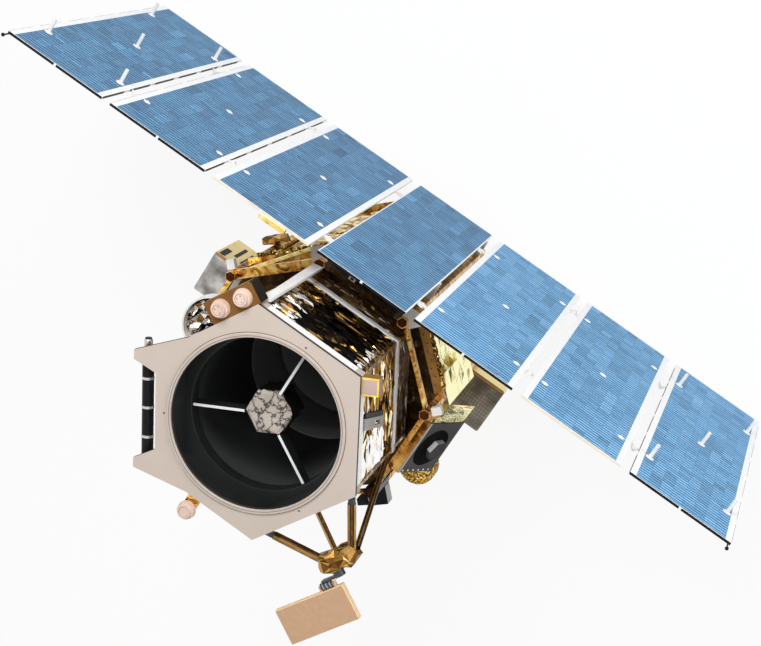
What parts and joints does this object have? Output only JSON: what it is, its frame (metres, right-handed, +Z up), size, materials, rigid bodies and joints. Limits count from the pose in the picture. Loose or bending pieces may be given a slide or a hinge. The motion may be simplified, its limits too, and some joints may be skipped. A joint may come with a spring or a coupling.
{
  "type": "earth observation satellite with folding solar array",
  "caption": "Imaging satellite: hexagonal telescope barrel on an eight-sided bus, folding flat solar array on one side, gimballed data antenna on struts, standing on its launch ring.",
  "frame": {"origin": "centre of the launch ring's lower face", "axes": "+Z up along the telescope axis, +Y towards the solar array, +X along the array"},
  "size_m": [7.098, 2.8162, 4.37],
  "materials": {
    "foil_gold": "crumpled metallised film",
    "foil_dark": "crumpled metallised film, dark",
    "gold_tape": "wrapped metallised film",
    "plate_beige": "matt warm grey paint",
    "white_paint": "matt white paint",
    "black_paint": "matt black paint",
    "bare_metal": "satin",
    "mirror_glass": "polished",
    "cream_foil": "crumpled film",
    "horn_peach": "satin",
    "brown_box": "satin",
    "tan_radome": "matt",
    "solar_cells": "covered cells",
    "array_white": "matt white paint"
  },
  "bodies": {
    "bus": {"aft_deck": "foil_gold", "antenna_struts": "gold_tape", "aperture_lip": "plate_beige", "apex_block": "foil_gold", "array_standoffs": "array_white", "baffle_ring": "black_paint", "barrel": "black_paint", "blankets": "foil_dark", "bus_corner_panels": "foil_gold", "bus_frame": "gold_tape", "bus_side_panels": "foil_gold", "corner_beams": "gold_tape", "corner_channel": "white_paint", "front_frame": "white_paint", "front_plate": "plate_beige", "gold_drum": "foil_gold", "hex_sensor": "bare_metal", "horn_box": "brown_box", "horns": "horn_peach", "launch_ring": "bare_metal", "lower_horn": "horn_peach", "lower_horn_bracket": "gold_tape", "mid_frame": "white_paint", "mirror_baffle": "black_paint", "panel_4": "solar_cells", "panel_4_fittings": "array_white", "patch_antenna": "gold_tape", "primary_mirror": "mirror_glass", "radiator_box_left": "bare_metal", "radiator_box_right": "bare_metal", "restraint_box": "foil_gold", "rim_boxes": "white_paint", "rod_clamps": "bare_metal", "roll_drive": "bare_metal", "secondary_housing": "cream_foil", "side_drum": "white_paint", "spider": "black_paint", "star_tracker": "black_paint", "strut_fittings": "bare_metal", "sun_sensor": "white_paint", "telescope_tube": "black_paint", "top_deck": "foil_gold", "torque_rod": "black_paint", "wedge_housing": "bare_metal"},
    "wing_left_inner": {"panel_3": "solar_cells", "panel_3_fittings": "array_white"},
    "wing_left_middle": {"panel_2": "solar_cells", "panel_2_fittings": "array_white"},
    "wing_left_outer": {"panel_1": "solar_cells", "panel_1_fittings": "array_white", "panel_1_stub": "black_paint"},
    "wing_right_inner": {"panel_5": "solar_cells", "panel_5_fittings": "array_white"},
    "wing_right_middle": {"panel_6": "solar_cells", "panel_6_fittings": "array_white"},
    "wing_right_outer": {"panel_7": "solar_cells", "panel_7_fittings": "array_white", "panel_7_stub": "black_paint"},
    "gimbal": {"gimbal_link": "bare_metal"},
    "antenna": {"antenna_plate": "tan_radome"}
  },
  "joints": [
    {"name": "left_root_fold", "type": "hinge", "parent": "bus", "child": "wing_left_inner", "pos_m": [-0.475, 1.203, 1.8855], "axis": [0, 0, 1], "range_deg": [0, 45]},
    {"name": "left_middle_fold", "type": "hinge", "parent": "wing_left_inner", "child": "wing_left_middle", "pos_m": [-1.514, 1.228, 1.8855], "axis": [0, 0, -1], "range_deg": [0, 180]},
    {"name": "left_outer_fold", "type": "hinge", "parent": "wing_left_middle", "child": "wing_left_outer", "pos_m": [-2.553, 1.178, 1.8855], "axis": [0, 0, 1], "range_deg": [0, 180]},
    {"name": "right_root_fold", "type": "hinge", "parent": "bus", "child": "wing_right_inner", "pos_m": [0.475, 1.203, 1.8855], "axis": [0, 0, -1], "range_deg": [0, 45]},
    {"name": "right_middle_fold", "type": "hinge", "parent": "wing_right_inner", "child": "wing_right_middle", "pos_m": [1.514, 1.228, 1.8855], "axis": [0, 0, 1], "range_deg": [0, 180]},
    {"name": "right_outer_fold", "type": "hinge", "parent": "wing_right_middle", "child": "wing_right_outer", "pos_m": [2.553, 1.178, 1.8855], "axis": [0, 0, -1], "range_deg": [0, 180]},
    {"name": "antenna_roll", "type": "hinge", "parent": "bus", "child": "gimbal", "pos_m": [1.1655, -0.68445, 4.13], "axis": [0.866, -0.5, 0], "range_deg": [-60, 60]},
    {"name": "antenna_tilt", "type": "hinge", "parent": "gimbal", "child": "antenna", "pos_m": [1.17197, -0.84984, 4.13], "axis": [0.5, 0.866, 0], "range_deg": [-60, 60]}
  ],
  "couplings": [
    {"joint": "left_middle_fold", "follows": "left_root_fold", "ratio": 4},
    {"joint": "left_outer_fold", "follows": "left_root_fold", "ratio": 4},
    {"joint": "right_middle_fold", "follows": "right_root_fold", "ratio": 4},
    {"joint": "right_outer_fold", "follows": "right_root_fold", "ratio": 4}
  ]
}
